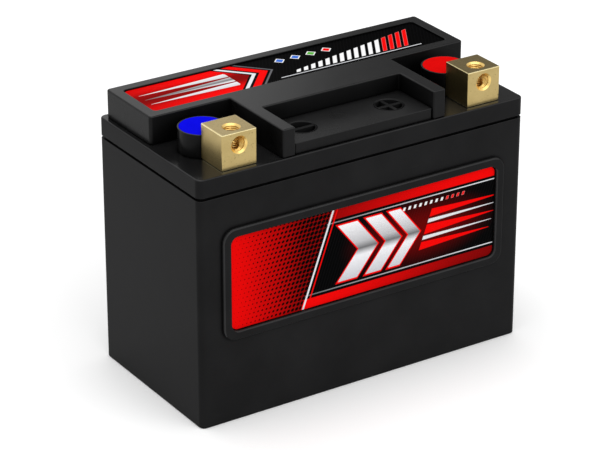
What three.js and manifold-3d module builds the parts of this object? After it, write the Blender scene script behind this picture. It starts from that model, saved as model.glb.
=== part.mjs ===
// A sealed motorcycle battery: a case with six cells, a lid with valve necks, a raised deck over
// the valves, a bay with two screwed vent plugs, two brass terminal blocks and two labels.
// Millimetres, +Z up. The origin is the middle of the case's underside, +X runs along the long
// side and -Y points to the side with the large label.
import * as THREE from "three";
import { mergeVertices } from "three/addons/utils/BufferGeometryUtils.js";
import Module from "manifold-3d";

// Case
const caseLength = 175;
const caseWidth = 87;
const caseHeight = 112.2;
const caseCornerRadius = 3;
const caseFootRound = 0.8;
const wallThickness = 2.6;
const floorThickness = 3;
const partitionThickness = 2;
const chamberCornerRadius = 1;
const cellCount = 6;
const restRibHeight = 2.5;
const restRibWidth = 3;
const restRibSpacing = 44;

// Seam between case and lid
const seamGap = 0.8;
const seamDepth = 0.8;

// Raised frame round the front label
const frameWidth = 152.6;
const frameHeight = 54.6;
const frameBottom = 41.3;
const frameRise = 2;
const frameRim = 4.3;
const frameCornerRadius = 6.5;
const frameOpeningRadius = 3.5;
const frameRound = 0.9;
const frontLabelMargin = 0.3;

// Lid and the deck on it
const lidHeight = 9;
const lidThickness = 3;
const edgeRound = 0.7;
const deckHeight = 13.5;
const deckSideInset = 2.6;
const deckRearInset = 3;
const deckFrontSetback = 44.7;
const deckCornerRadius = 1.6;
const skinThickness = 2.4;
const stemWidth = 87.2;
const armWidth = 6.65;
const armFrontInset = 0.9;
const armCornerRadius = 0.9;
const bayDepth = 27.1;
const platformHeight = 5.2;
const platformInset = 0.8;
const recessRim = 5.4;
const recessDepth = 1.1;
const recessCornerRadius = 2;

// Labels and valves
const labelThickness = 0.3;
const topLabelMargin = 0.35;
const neckRadius = 4.2;
const neckBoreRadius = 2.4;
const neckHeight = 6.9;
const valveWall = 1.2;
const valveTopGap = 0.3;
const valveHeight = 8.4;
const valveRibWidth = 3;
const valveSkirtLift = 1;

// Terminals
const postOffsetNegative = 8.93;
const postOffsetPositive = 5.63;
const blockWidth = 17.8;
const blockDepth = 17.4;
const blockHeight = 17;
const blockFrontInset = 3;
const blockChamfer = 0.4;
const boreRadius = 3.3;
const boreDepth = 12.4;
const countersinkRadius = 4.2;
const topBoreSetback = 6.6;
const frontBoreDrop = 6.1;
const potOffset = 2.5;
const potSetback = 8.85;
const potRadius = 11.45;
const potWall = 0.75;
const potHeight = 11.2;
const resinThickness = 3.2;
const tongueWidth = 10;
const tongueThickness = 5;
const tongueLift = 2.4;
const eyeRadius = 7;
const postRadius = 4.2;
const postTopRadius = 3.6;
const collarLength = 4;
const collarWall = 2.4;
const sealHeight = 1.5;
const sealWidth = 1.6;

// Vent plugs
const plugLeftInset = 12.65;
const plugRightInset = 14.15;
const plugSetback = 14.8;
const plugHeadRadius = 6.75;
const plugHeadThickness = 4.4;
const plugRim = 0.6;
const plugPitDepth = 3.2;
const plugBarWidth = 1.9;
const plugBarSink = 0.2;
const plugShankRadius = 5.1;
const plugShankLength = 8.6;
const plugBoreRadius = 3.2;
const plugWeb = 1.2;
const plugSlotWidth = 1.6;
const plugSlotHeight = 2.5;
const plugClearance = 0.2;
const bossWall = 2;
const oRingSection = 1.2;

// Cells
const positivePlateCount = 4;
const positiveThickness = 2.2;
const negativeThickness = 1.6;
const plateEdgeGap = 2.6;
const plateFootGap = 1.5;
const separatorOverhang = 1.5;
const lugHeight = 6;
const lugWidth = 10;
const strapSetback = 16;
const strapWidth = 13;
const strapThickness = 5;
const strapSideGap = 1.2;
const riserThickness = 2;
const riserMargin = 1;
const weldRadius = 4;
const weldDrop = 6.6;

// Fits, and how far joined bodies and cuts run past a face
const seatGap = 0.05;
const fitClearance = 0.15;
const postClearance = 0.3;
const overrun = 1;

// Roundness
const circleSides = 32;
const smallCircleSides = 20;
const neckSides = 16;
const oRingSides = 6;
const cornerSegments = 2;

// Heights and places that follow from the sizes above
const halfLength = caseLength / 2;
const halfWidth = caseWidth / 2;
const weldHeight = caseHeight + seamGap / 2;
const skirtHeight = caseHeight + seamGap;
const lidTop = skirtHeight + lidHeight;
const lidUnderside = lidTop - lidThickness;
const deckTop = lidTop + deckHeight;
const deckHalf = halfLength - deckSideInset;
const deckRear = halfWidth - deckRearInset;
const deckFront = -halfWidth + deckFrontSetback;
const armFront = -halfWidth + armFrontInset;
const bayBack = armFront + bayDepth;
const stemHalf = stemWidth / 2;
const bayHalf = stemHalf - armWidth;
const platformTop = lidTop + platformHeight;
const platformFront = armFront + platformInset;
const deckFoot = lidTop + seatGap;
const recessHalf = deckHalf - recessRim;
const recessFront = deckFront + recessRim;
const recessRear = deckRear - recessRim;
const recessMiddle = (recessFront + recessRear) / 2;
const recessFloor = deckTop - recessDepth;
const valveTop = lidTop + valveHeight;
const innerWidth = caseWidth - 2 * wallThickness;
const cellWidth =
  (caseLength - 2 * wallThickness - (cellCount - 1) * partitionThickness) / cellCount;
const cellPitch = cellWidth + partitionThickness;
const blockFront = -halfWidth + blockFrontInset;
const blockRear = blockFront + blockDepth;
const blockMiddle = (blockFront + blockRear) / 2;
const potMiddle = blockRear + potSetback;
const potBoreRadius = potRadius - potWall;
const sealRadius = postRadius + fitClearance + sealWidth;
const tongueBottom = lidTop + tongueLift;
const tongueTop = tongueBottom + tongueThickness;
const plugY = armFront + plugSetback;
const plugHeadBottom = platformTop - plugHeadThickness;
const plugSeat = plugHeadBottom - oRingSection;
const plateCount = 2 * positivePlateCount + 1;
const weldMiddle = weldHeight - weldDrop;
const riserTop = weldMiddle + weldRadius + riserMargin;
const strapTop = weldMiddle - weldRadius - riserMargin;
const strapBottom = strapTop - strapThickness;
const plateTop = strapBottom - lugHeight;
const separatorBottom = floorThickness + restRibHeight + seatGap;
const plateBottom = separatorBottom + plateFootGap;
const separatorTop = plateTop + separatorOverhang;

const wasm = await Module();
wasm.setup();

// Closed geometry to a solid that can be joined and cut.
function solidOf(geometry) {
  const bare = geometry.clone();
  bare.deleteAttribute("normal");
  bare.deleteAttribute("uv");
  const merged = mergeVertices(bare, 1e-4);
  const corners = merged.index.array;
  const kept = [];
  for (let i = 0; i < corners.length; i += 3) {
    const [a, b, c] = corners.slice(i, i + 3);
    if (a !== b && b !== c && c !== a) kept.push(a, b, c);
  }
  return new wasm.Manifold(
    new wasm.Mesh({
      numProp: 3,
      vertProperties: merged.attributes.position.array,
      triVerts: new Uint32Array(kept),
    }),
  );
}

function geometryOf(solid) {
  const mesh = solid.getMesh();
  const position = new Float32Array(mesh.numVert * 3);
  for (let i = 0; i < mesh.numVert; i++) {
    const start = i * mesh.numProp;
    position.set(mesh.vertProperties.subarray(start, start + 3), i * 3);
  }
  const geometry = new THREE.BufferGeometry();
  geometry.setAttribute("position", new THREE.BufferAttribute(position, 3));
  geometry.setIndex(new THREE.BufferAttribute(mesh.triVerts, 1));
  geometry.computeVertexNormals();
  return geometry;
}

const joined = (solids) => solids.reduce((sum, next) => sum.add(next));
const without = (solid, cuts) => cuts.reduce((rest, cut) => rest.subtract(cut), solid);

// A box between two limits on each axis.
function box([x0, x1], [y0, y1], [z0, z1]) {
  const geometry = new THREE.BoxGeometry(x1 - x0, y1 - y0, z1 - z0);
  return solidOf(geometry.translate((x0 + x1) / 2, (y0 + y1) / 2, (z0 + z1) / 2));
}

// An upright cylinder.
function rod(radius, x, y, [z0, z1], sides = circleSides) {
  const geometry = new THREE.CylinderGeometry(radius, radius, z1 - z0, sides);
  return solidOf(geometry.rotateX(Math.PI / 2).translate(x, y, (z0 + z1) / 2));
}

// A body turned about Z from a profile of [radius, height] points.
function turned(profile, sides = circleSides) {
  const points = profile.map(([radius, height]) => new THREE.Vector2(radius, height));
  return solidOf(new THREE.LatheGeometry(points, sides).rotateX(Math.PI / 2));
}

// An outline through square corners, each [x, y, radius], counterclockwise. A corner of
// radius 0 stays sharp.
function outline(corners) {
  const shape = new THREE.Shape();
  corners.forEach(([x, y, radius], i) => {
    if (radius === 0) {
      if (i === 0) shape.moveTo(x, y);
      else shape.lineTo(x, y);
      return;
    }
    const [bx, by] = corners.at(i - 1);
    const [ax, ay] = corners[(i + 1) % corners.length];
    const back = new THREE.Vector2(bx - x, by - y).normalize();
    const ahead = new THREE.Vector2(ax - x, ay - y).normalize();
    const centre = new THREE.Vector2(x, y);
    centre.addScaledVector(back, radius).addScaledVector(ahead, radius);
    const start = Math.atan2(-ahead.y, -ahead.x);
    const end = Math.atan2(-back.y, -back.x);
    const inward = back.cross(ahead) > 0;
    shape.absarc(centre.x, centre.y, radius, start, end, inward);
  });
  shape.closePath();
  return shape;
}

const rectangle = ([x0, x1], [y0, y1], radius) =>
  outline([
    [x0, y0, radius],
    [x1, y0, radius],
    [x1, y1, radius],
    [x0, y1, radius],
  ]);

function prism(shape, [z0, z1], segments = cornerSegments) {
  const options = { depth: z1 - z0, bevelEnabled: false, curveSegments: segments };
  return solidOf(new THREE.ExtrudeGeometry(shape, options).translate(0, 0, z0));
}

// A prism whose edges are rounded at both ends.
function softPrism(shape, [z0, z1], round, segments = cornerSegments, steps = 2) {
  const geometry = new THREE.ExtrudeGeometry(shape, {
    depth: z1 - z0 - 2 * round,
    bevelThickness: round,
    bevelSize: round,
    bevelOffset: -round,
    bevelSegments: steps,
    curveSegments: segments,
  });
  return solidOf(geometry.translate(0, 0, z0 + round));
}

// A prism with only its upper edge rounded.
function pad(shape, [z0, z1], round, segments = cornerSegments) {
  const foot = prism(shape, [z0, z1 - 1.5 * round], segments);
  return foot.add(softPrism(shape, [z0, z1], round, segments));
}

const materials = {
  case: { color: 0x2a2a2c, roughness: 0.5, metalness: 0 },
  lid: { color: 0x303032, roughness: 0.45, metalness: 0 },
  plug: { color: 0x262628, roughness: 0.5, metalness: 0 },
  brass: { color: 0xc2ab6f, roughness: 0.3, metalness: 1 },
  blueResin: { color: 0x1111e1, roughness: 0.35, metalness: 0 },
  redResin: { color: 0xe21111, roughness: 0.35, metalness: 0 },
  frontLabel: { color: 0xc00b0b, roughness: 0.3, metalness: 0 },
  topLabel: { color: 0x151517, roughness: 0.3, metalness: 0 },
  lead: { color: 0x74777c, roughness: 0.55, metalness: 0.8 },
  positivePaste: { color: 0x4a2f22, roughness: 0.9, metalness: 0 },
  negativePaste: { color: 0x6d7074, roughness: 0.85, metalness: 0.2 },
  glassMat: { color: 0xe9e8e2, roughness: 1, metalness: 0 },
  rubber: { color: 0x1b1b1c, roughness: 0.8, metalness: 0 },
};

function piece(name, solid, finish) {
  const material = new THREE.MeshStandardMaterial({ ...materials[finish], flatShading: true });
  const mesh = new THREE.Mesh(geometryOf(solid), material);
  mesh.name = name;
  return mesh;
}

function groupAt(x, y, z, pieces) {
  const group = new THREE.Group();
  group.position.set(x, y, z);
  group.add(...pieces);
  return group;
}

const cellMiddle = (cell) => (cell - (cellCount - 1) / 2) * cellPitch;
const partitionMiddle = (wall) => cellMiddle(wall) + cellPitch / 2;
const wallNumbers = Array.from({ length: cellCount - 1 }, (_, wall) => wall);

// The weld between two cells is at the back for even walls and at the front for odd ones.
const weldSide = (wall) => (wall % 2 === 0 ? 1 : -1);

function caseShell() {
  const foot = rectangle(
    [-halfLength, halfLength],
    [-halfWidth, halfWidth],
    caseCornerRadius,
  );
  const lip = rectangle(
    [-halfLength + seamDepth, halfLength - seamDepth],
    [-halfWidth + seamDepth, halfWidth - seamDepth],
    caseCornerRadius - seamDepth,
  );
  const shell = softPrism(foot, [0, caseHeight], caseFootRound)
    .add(prism(foot, [2 * caseFootRound, caseHeight]))
    .add(prism(lip, [caseHeight - seamGap, weldHeight]));
  const chambers = [];
  const ribs = [];
  for (let cell = 0; cell < cellCount; cell++) {
    const across = [cellMiddle(cell) - cellWidth / 2, cellMiddle(cell) + cellWidth / 2];
    const chamber = rectangle(across, [-innerWidth / 2, innerWidth / 2], chamberCornerRadius);
    chambers.push(prism(chamber, [floorThickness, weldHeight + overrun], 1));
    for (const side of [-1, 1]) {
      const y = (side * restRibSpacing) / 2;
      const along = [y - restRibWidth / 2, y + restRibWidth / 2];
      ribs.push(box(across, along, [floorThickness / 2, floorThickness + restRibHeight]));
    }
  }
  const windows = wallNumbers.map((wall) =>
    weldButton(partitionThickness * 2, weldRadius + fitClearance).translate([
      partitionMiddle(wall),
      weldSide(wall) * strapSetback,
      weldMiddle,
    ]),
  );
  return without(joined([without(shell, chambers), ...ribs, labelFrame()]), windows);
}

// The raised frame on the front wall, its hole open to the wall behind.
function labelFrame() {
  const halfFrame = frameWidth / 2;
  const frameTop = frameBottom + frameHeight;
  const inner = rectangle(
    [-halfFrame + frameRim, halfFrame - frameRim],
    [frameBottom + frameRim, frameTop - frameRim],
    frameOpeningRadius,
  );
  const shape = rectangle(
    [-halfFrame, halfFrame],
    [frameBottom, frameTop],
    frameCornerRadius,
  );
  shape.holes.push(inner);
  const sunk = wallThickness / 2;
  const ring = softPrism(shape, [-sunk - frameRound, frameRise], frameRound, 3, 3);
  const kept = ring.trimByPlane([0, 0, 1], -sunk);
  return kept.rotate([90, 0, 0]).translate([0, -halfWidth, 0]);
}

// A short cylinder along X, centred on the origin.
function weldButton(length, radius) {
  const geometry = new THREE.CylinderGeometry(radius, radius, length, smallCircleSides);
  return solidOf(geometry.rotateZ(Math.PI / 2));
}

// Each post stands in an end cell, at its offset from that cell's partition.
const lastWall = partitionMiddle(cellCount - 2) + partitionThickness / 2;
const terminals = [
  { name: "negative", potX: -lastWall - postOffsetNegative, resin: "blueResin" },
  { name: "positive", potX: lastWall + postOffsetPositive, resin: "redResin" },
];
const blockX = (terminal) => terminal.potX + potOffset;

function deckOutline() {
  const arm = armCornerRadius;
  const deck = deckCornerRadius;
  return outline([
    [-deckHalf, deckFront, deck],
    [-stemHalf, deckFront, 0],
    [-stemHalf, armFront, arm],
    [-bayHalf, armFront, arm],
    [-bayHalf, bayBack, arm],
    [bayHalf, bayBack, arm],
    [bayHalf, armFront, arm],
    [stemHalf, armFront, arm],
    [stemHalf, deckFront, 0],
    [deckHalf, deckFront, deck],
    [deckHalf, deckRear, deck],
    [-deckHalf, deckRear, deck],
  ]);
}

function lidShell() {
  const sides = [-halfLength, halfLength];
  const ends = [-halfWidth, halfWidth];
  const inset = ([low, high], by) => [low + by, high - by];
  const outer = rectangle(sides, ends, caseCornerRadius);
  const lip = rectangle(
    inset(sides, seamDepth),
    inset(ends, seamDepth),
    caseCornerRadius - seamDepth,
  );
  const inner = rectangle(
    inset(sides, wallThickness),
    inset(ends, wallThickness),
    chamberCornerRadius,
  );
  return pad(outer, [skirtHeight, lidTop], edgeRound)
    .add(prism(lip, [weldHeight, skirtHeight + seamGap]))
    .subtract(prism(inner, [weldHeight - seamGap, lidUnderside], 1));
}

// Ribs that carry the case's partitions up to the underside of the lid.
function lidRibs() {
  const half = partitionThickness / 2;
  const rim = halfWidth - wallThickness / 2;
  const span = [weldHeight, lidUnderside + half];
  return wallNumbers.map((wall) => {
    const x = partitionMiddle(wall);
    return box([x - half, x + half], [-rim, rim], span);
  });
}

// The guide under the lid that a lead post comes up through.
function postCollar(terminal) {
  const radius = postRadius + postClearance + collarWall;
  const span = [lidUnderside - collarLength, lidTop - lidThickness / 2];
  return rod(radius, terminal.potX, potMiddle, span, smallCircleSides);
}

function postCuts(terminal) {
  const above = lidTop + overrun;
  const seat = sealRadius + fitClearance;
  return [
    rod(seat, terminal.potX, potMiddle, [lidTop - sealHeight, above], smallCircleSides),
    rod(postRadius + postClearance, terminal.potX, potMiddle, [0, above], smallCircleSides),
  ];
}

// The round pot on the lid that holds the resin, open towards its terminal block.
function terminalPot() {
  const top = lidTop + potHeight;
  const wall = rod(potRadius, 0, potMiddle, [lidTop + seatGap, top]);
  const half = blockWidth / 2 + fitClearance;
  return without(wall, [
    rod(potBoreRadius, 0, potMiddle, [lidTop, top + overrun]),
    box(
      [potOffset - half, potOffset + half],
      [blockFront, blockRear + fitClearance],
      [lidTop, top + overrun],
    ),
  ]);
}

const plugs = [
  { name: "left", x: -bayHalf + plugLeftInset, bars: 1 },
  { name: "right", x: bayHalf - plugRightInset, bars: 2 },
];

// The threaded boss under the lid that a plug screws into.
function plugSocket(plug) {
  const radius = plugShankRadius + plugClearance + bossWall;
  return rod(radius, plug.x, plugY, [skirtHeight, lidUnderside + overrun]);
}

// The sleeve in the deck's hollow that a plug's head sits in.
function plugSleeve(plug) {
  const radius = plugHeadRadius + plugClearance + bossWall;
  return rod(radius, plug.x, plugY, [deckFoot, platformTop - bossWall]);
}

function plugCuts(plug) {
  const headRadius = plugHeadRadius + plugClearance;
  const shankRadius = plugShankRadius + plugClearance;
  return [
    rod(headRadius, plug.x, plugY, [plugSeat, platformTop + overrun]),
    rod(shankRadius, plug.x, plugY, [weldHeight, platformTop + overrun]),
  ];
}

function valveNeck(cell) {
  const span = [lidTop - lidThickness / 2, lidTop + neckHeight];
  return rod(neckRadius, cellMiddle(cell), recessMiddle, span, neckSides);
}

function neckBore(cell) {
  const span = [weldHeight, lidTop + neckHeight + overrun];
  return rod(neckBoreRadius, cellMiddle(cell), recessMiddle, span, neckSides);
}

const cellNumbers = Array.from({ length: cellCount }, (_, cell) => cell);

// The lid: skirt, top plate, ribs, post collars, valve necks and plug sockets.
function lid() {
  const body = joined([
    lidShell(),
    ...lidRibs(),
    ...plugs.map(plugSocket),
    ...terminals.map(postCollar),
    ...cellNumbers.map(valveNeck),
  ]);
  return without(body, [
    ...plugs.flatMap(plugCuts),
    ...terminals.flatMap(postCuts),
    ...cellNumbers.map(neckBore),
  ]);
}

// The raised T with its two arms, from which the deck and the bay's frame are cut.
function raisedBody() {
  const recess = rectangle(
    [-recessHalf, recessHalf],
    [recessFront, recessRear],
    recessCornerRadius,
  );
  return pad(deckOutline(), [deckFoot, deckTop], edgeRound).subtract(
    prism(recess, [recessFloor, deckTop + overrun]),
  );
}

// The deck over the valves: open underneath, with the label recess on top and a rib that
// keeps the valve caps down.
function deck() {
  const hollow = box(
    [-deckHalf + skinThickness, deckHalf - skinThickness],
    [deckFront + skinThickness, deckRear - skinThickness],
    [lidTop, recessFloor - skinThickness],
  );
  const valveRib = box(
    [-deckHalf + skinThickness / 2, deckHalf - skinThickness / 2],
    [recessMiddle - valveRibWidth / 2, recessMiddle + valveRibWidth / 2],
    [valveTop + valveTopGap, recessFloor - skinThickness / 2],
  );
  const shell = raisedBody().trimByPlane([0, 1, 0], deckFront).subtract(hollow);
  return shell.add(valveRib);
}

// The frame round the bay: a bridge against the deck and two arms, cored from below.
function bayFrame() {
  const roof = deckTop - skinThickness;
  const inner = bayHalf - skinThickness;
  const [near, far] = [bayHalf + skinThickness, stemHalf - skinThickness];
  const back = deckFront - skinThickness;
  const along = [armFront + skinThickness, back];
  const rear = deckFront - seatGap;
  return without(raisedBody().trimByPlane([0, -1, 0], -rear), [
    box([-inner, inner], [bayBack + skinThickness, back], [lidTop, roof]),
    box([near, far], along, [lidTop, roof]),
    box([-far, -near], along, [lidTop, roof]),
  ]);
}

// The bay's raised floor, with the holes and sleeves for the vent plugs.
function bayPlatform() {
  const half = bayHalf - seatGap;
  const back = bayBack - seatGap;
  const outer = rectangle([-half, half], [platformFront, back], armCornerRadius);
  const top = pad(outer, [deckFoot, platformTop], edgeRound / 2);
  const hollow = box(
    [-half + skinThickness, half - skinThickness],
    [platformFront + skinThickness, back - skinThickness],
    [lidTop, platformTop - skinThickness],
  );
  const shell = joined([top.subtract(hollow), ...plugs.map(plugSleeve)]);
  return without(shell, plugs.flatMap(plugCuts));
}

// A threaded bore of a terminal block, opening upwards at the origin, with its countersink.
function boltBore() {
  const flare = countersinkRadius - boreRadius;
  return turned(
    [
      [0, -boreDepth],
      [boreRadius, -boreDepth],
      [boreRadius, -flare],
      [countersinkRadius, 0],
      [countersinkRadius, overrun],
      [0, overrun],
    ],
    smallCircleSides,
  );
}

// A brass block on the lid, with a tongue into the pot and an eye round the lead post.
function terminalBlock() {
  const half = blockWidth / 2;
  const bottom = seatGap;
  const body = softPrism(
    rectangle([-half, half], [-blockDepth / 2, blockDepth / 2], blockChamfer),
    [bottom, blockHeight],
    blockChamfer,
    1,
    1,
  );
  const eyeX = -potOffset;
  const eyeY = potMiddle - blockMiddle;
  const span = [tongueLift, tongueLift + tongueThickness];
  const reach = [eyeX - tongueWidth / 2, eyeX + tongueWidth / 2];
  const tongue = box(reach, [blockDepth / 2 - overrun, eyeY], span);
  const eye = rod(eyeRadius, eyeX, eyeY, span, smallCircleSides);
  const hole = rod(postTopRadius + fitClearance, eyeX, eyeY, [0, blockHeight], smallCircleSides);
  const topBore = boltBore().translate([0, -blockDepth / 2 + topBoreSetback, blockHeight]);
  const frontBore = boltBore()
    .rotate([90, 0, 0])
    .translate([0, -blockDepth / 2, blockHeight - frontBoreDrop]);
  return without(joined([body, tongue, eye]), [hole, topBore, frontBore]);
}

function resinSeal() {
  const half = blockWidth / 2 + 2 * fitClearance;
  const disc = rod(potBoreRadius - fitClearance, -potOffset, potMiddle, [
    potHeight - resinThickness,
    potHeight,
  ]);
  const notch = box(
    [-half, half],
    [blockFront, blockRear + fitClearance],
    [0, potHeight + overrun],
  );
  return disc.subtract(notch);
}

// The lead post from the strap up through lid, seal and eye.
function terminalPost() {
  const shoulder = tongueBottom - seatGap;
  const foot = strapTop + seatGap;
  return turned(
    [
      [0, foot],
      [postRadius, foot],
      [postRadius, shoulder],
      [postTopRadius, shoulder],
      [postTopRadius, tongueTop],
      [0, tongueTop],
    ],
    smallCircleSides,
  );
}

function postSeal() {
  const inner = postRadius + fitClearance;
  const bottom = lidTop - sealHeight + seatGap;
  return turned(
    [
      [inner, bottom],
      [sealRadius, bottom],
      [sealRadius, lidTop],
      [inner, lidTop],
      [inner, bottom],
    ],
    smallCircleSides,
  );
}

// A vent plug, head up, with driving bars across its pit and a slotted hollow shank.
function ventPlug(bars) {
  const shankBottom = plugHeadBottom - plugShankLength;
  const boreTop = platformTop - plugPitDepth - plugWeb;
  const body = turned([
    [0, boreTop],
    [plugBoreRadius, boreTop],
    [plugBoreRadius, shankBottom],
    [plugShankRadius, shankBottom],
    [plugShankRadius, plugHeadBottom],
    [plugHeadRadius, plugHeadBottom],
    [plugHeadRadius, platformTop],
    [0, platformTop],
  ]);
  const pitRadius = plugHeadRadius - plugRim;
  const pit = rod(pitRadius, 0, 0, [platformTop - plugPitDepth, platformTop + overrun]);
  const half = plugBarWidth / 2;
  const reach = [-pitRadius - plugRim / 2, pitRadius + plugRim / 2];
  const span = [platformTop - plugPitDepth - plugWeb / 2, platformTop - plugBarSink];
  const barBodies = [box(reach, [-half, half], span), box([-half, half], reach, span)];
  const slotSpan = [shankBottom - overrun, shankBottom + plugSlotHeight];
  const slotReach = [-plugShankRadius - overrun, plugShankRadius + overrun];
  const slotHalf = plugSlotWidth / 2;
  return without(joined([body.subtract(pit), ...barBodies.slice(0, bars)]), [
    box(slotReach, [-slotHalf, slotHalf], slotSpan),
    box([-slotHalf, slotHalf], slotReach, slotSpan),
  ]);
}

function oRing() {
  const radius = oRingSection / 2 - seatGap;
  const middle = plugSeat + oRingSection / 2;
  const ringRadius = plugShankRadius + fitClearance + radius;
  const profile = Array.from({ length: oRingSides + 1 }, (_, i) => {
    const angle = ((i % oRingSides) / oRingSides) * 2 * Math.PI;
    return [ringRadius + radius * Math.cos(angle), middle + radius * Math.sin(angle)];
  });
  return turned(profile, smallCircleSides);
}

function topLabel() {
  const half = recessHalf - topLabelMargin;
  const shape = rectangle(
    [-half, half],
    [recessFront + topLabelMargin, recessRear - topLabelMargin],
    recessCornerRadius,
  );
  const bottom = recessFloor + seatGap;
  return prism(shape, [bottom, bottom + labelThickness]);
}

function frontLabel() {
  const half = frameWidth / 2 - frameRim - frontLabelMargin;
  const shape = rectangle(
    [-half, half],
    [
      frameBottom + frameRim + frontLabelMargin,
      frameBottom + frameHeight - frameRim - frontLabelMargin,
    ],
    frameOpeningRadius - frontLabelMargin,
  );
  return prism(shape, [seatGap, seatGap + labelThickness], 3)
    .rotate([90, 0, 0])
    .translate([0, -halfWidth, 0]);
}

// A rubber cap over a valve neck.
function safetyValve() {
  const neckTop = lidTop + neckHeight + seatGap;
  const inner = neckRadius + fitClearance;
  const outer = inner + valveWall;
  const bottom = lidTop + valveSkirtLift;
  return turned(
    [
      [0, neckTop],
      [inner, neckTop],
      [inner, bottom],
      [outer, bottom],
      [outer, valveTop],
      [0, valveTop],
    ],
    smallCircleSides,
  );
}

const negativePlateCount = positivePlateCount + 1;
const separatorCount = plateCount - 1;
const separatorThickness =
  (cellWidth -
    positivePlateCount * positiveThickness -
    negativePlateCount * negativeThickness -
    2 * (separatorCount + 1) * fitClearance) /
  separatorCount;
const plateHalf = innerWidth / 2 - plateEdgeGap;

// The X limits of a plate, the outer ones being negative.
function plateSpan(index) {
  const positivesBefore = Math.floor(index / 2);
  const negativesBefore = Math.ceil(index / 2);
  const separatorsBefore = index * (separatorThickness + 2 * fitClearance);
  const start =
    -cellWidth / 2 +
    fitClearance +
    positivesBefore * positiveThickness +
    negativesBefore * negativeThickness +
    separatorsBefore;
  return [start, start + (index % 2 === 0 ? negativeThickness : positiveThickness)];
}

// Plates of one polarity hanging from their strap. Side is +1 at the back and -1 at the front;
// riser is +1 or -1 for the partition that the strap is welded through, or 0 beside a post.
function plateGroup(first, side, riser) {
  const y = side * strapSetback;
  const lug = [y - lugWidth / 2, y + lugWidth / 2];
  const strap = [y - strapWidth / 2, y + strapWidth / 2];
  const bodies = [];
  for (let index = first; index < plateCount; index += 2) {
    const across = plateSpan(index);
    bodies.push(box(across, [-plateHalf, plateHalf], [plateBottom, plateTop]));
    bodies.push(box(across, lug, [plateTop - overrun, strapBottom + overrun]));
  }
  const reach = cellWidth / 2 - strapSideGap;
  bodies.push(box([-reach, reach], strap, [strapBottom, strapTop]));
  if (riser !== 0) {
    const outer = riser * (cellWidth / 2 - fitClearance);
    const inner = outer - riser * riserThickness;
    const across = [Math.min(outer, inner), Math.max(outer, inner)];
    bodies.push(box(across, strap, [strapBottom, riserTop]));
  }
  return joined(bodies);
}

// One glass mat folded to and fro between the plates, as an outline of its two faces.
function separator() {
  const low = plateHalf + fitClearance;
  const outer = low + separatorThickness;
  const startOf = (sheet) => plateSpan(sheet)[1] + fitClearance;
  const left = [];
  const right = [];
  for (let sheet = 0; sheet < separatorCount; sheet += 2) {
    const rise = startOf(sheet);
    const fall = startOf(sheet + 1);
    const foot = sheet === 0 ? outer : low;
    const end = sheet + 2 === separatorCount ? outer : low;
    left.push([rise, -foot], [rise, outer]);
    left.push([fall + separatorThickness, outer], [fall + separatorThickness, -end]);
    right.push([rise + separatorThickness, -outer], [rise + separatorThickness, low]);
    right.push([fall, low], [fall, -outer]);
  }
  const points = [...left, ...right.reverse()].map(([x, y]) => new THREE.Vector2(x, y));
  return prism(new THREE.Shape(points), [separatorBottom, separatorTop]);
}

function cellPieces(cell) {
  const number = cell + 1;
  const negativeSide = cell % 2 === 0 ? -1 : 1;
  const lastCell = cell === cellCount - 1;
  const negative = plateGroup(0, negativeSide, cell === 0 ? 0 : -1);
  const positive = plateGroup(1, -negativeSide, lastCell ? 0 : 1);
  return groupAt(cellMiddle(cell), 0, 0, [
    piece(`negative_plates_${number}`, negative, "negativePaste"),
    piece(`positive_plates_${number}`, positive, "positivePaste"),
    piece(`separator_${number}`, separator(), "glassMat"),
  ]);
}

function weldPieces(wall) {
  const button = weldButton(partitionThickness, weldRadius);
  return groupAt(partitionMiddle(wall), weldSide(wall) * strapSetback, weldMiddle, [
    piece(`cell_weld_${wall + 1}`, button, "lead"),
  ]);
}

function terminalPieces(terminal) {
  const pot = piece(`terminal_pot_${terminal.name}`, terminalPot(), "lid");
  const block = piece(`terminal_block_${terminal.name}`, terminalBlock(), "brass");
  const resin = piece(`resin_seal_${terminal.name}`, resinSeal(), terminal.resin);
  const post = piece(`terminal_post_${terminal.name}`, terminalPost(), "lead");
  const seal = piece(`post_seal_${terminal.name}`, postSeal(), "rubber");
  return [
    groupAt(blockX(terminal), blockMiddle, lidTop, [block]),
    groupAt(blockX(terminal), 0, lidTop, [resin]),
    groupAt(terminal.potX, 0, 0, [pot]),
    groupAt(terminal.potX, potMiddle, 0, [post, seal]),
  ];
}

function plugPieces(plug) {
  return groupAt(plug.x, plugY, 0, [
    piece(`vent_plug_${plug.name}`, ventPlug(plug.bars), "plug"),
    piece(`vent_plug_seal_${plug.name}`, oRing(), "rubber"),
  ]);
}

function valvePieces(cell) {
  return groupAt(cellMiddle(cell), recessMiddle, 0, [
    piece(`safety_valve_${cell + 1}`, safetyValve(), "rubber"),
  ]);
}

const battery = new THREE.Group();
battery.add(
  piece("case", caseShell(), "case"),
  piece("lid", lid(), "lid"),
  piece("deck", deck(), "lid"),
  piece("bay_frame", bayFrame(), "lid"),
  piece("bay_platform", bayPlatform(), "lid"),
  piece("top_label", topLabel(), "topLabel"),
  piece("front_label", frontLabel(), "frontLabel"),
  ...terminals.flatMap(terminalPieces),
  ...plugs.map(plugPieces),
  ...cellNumbers.map(valvePieces),
  ...cellNumbers.map(cellPieces),
  ...wallNumbers.map(weldPieces),
);

export default battery;
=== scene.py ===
import math

import bmesh
import bpy
from mathutils import Matrix, Vector


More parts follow.
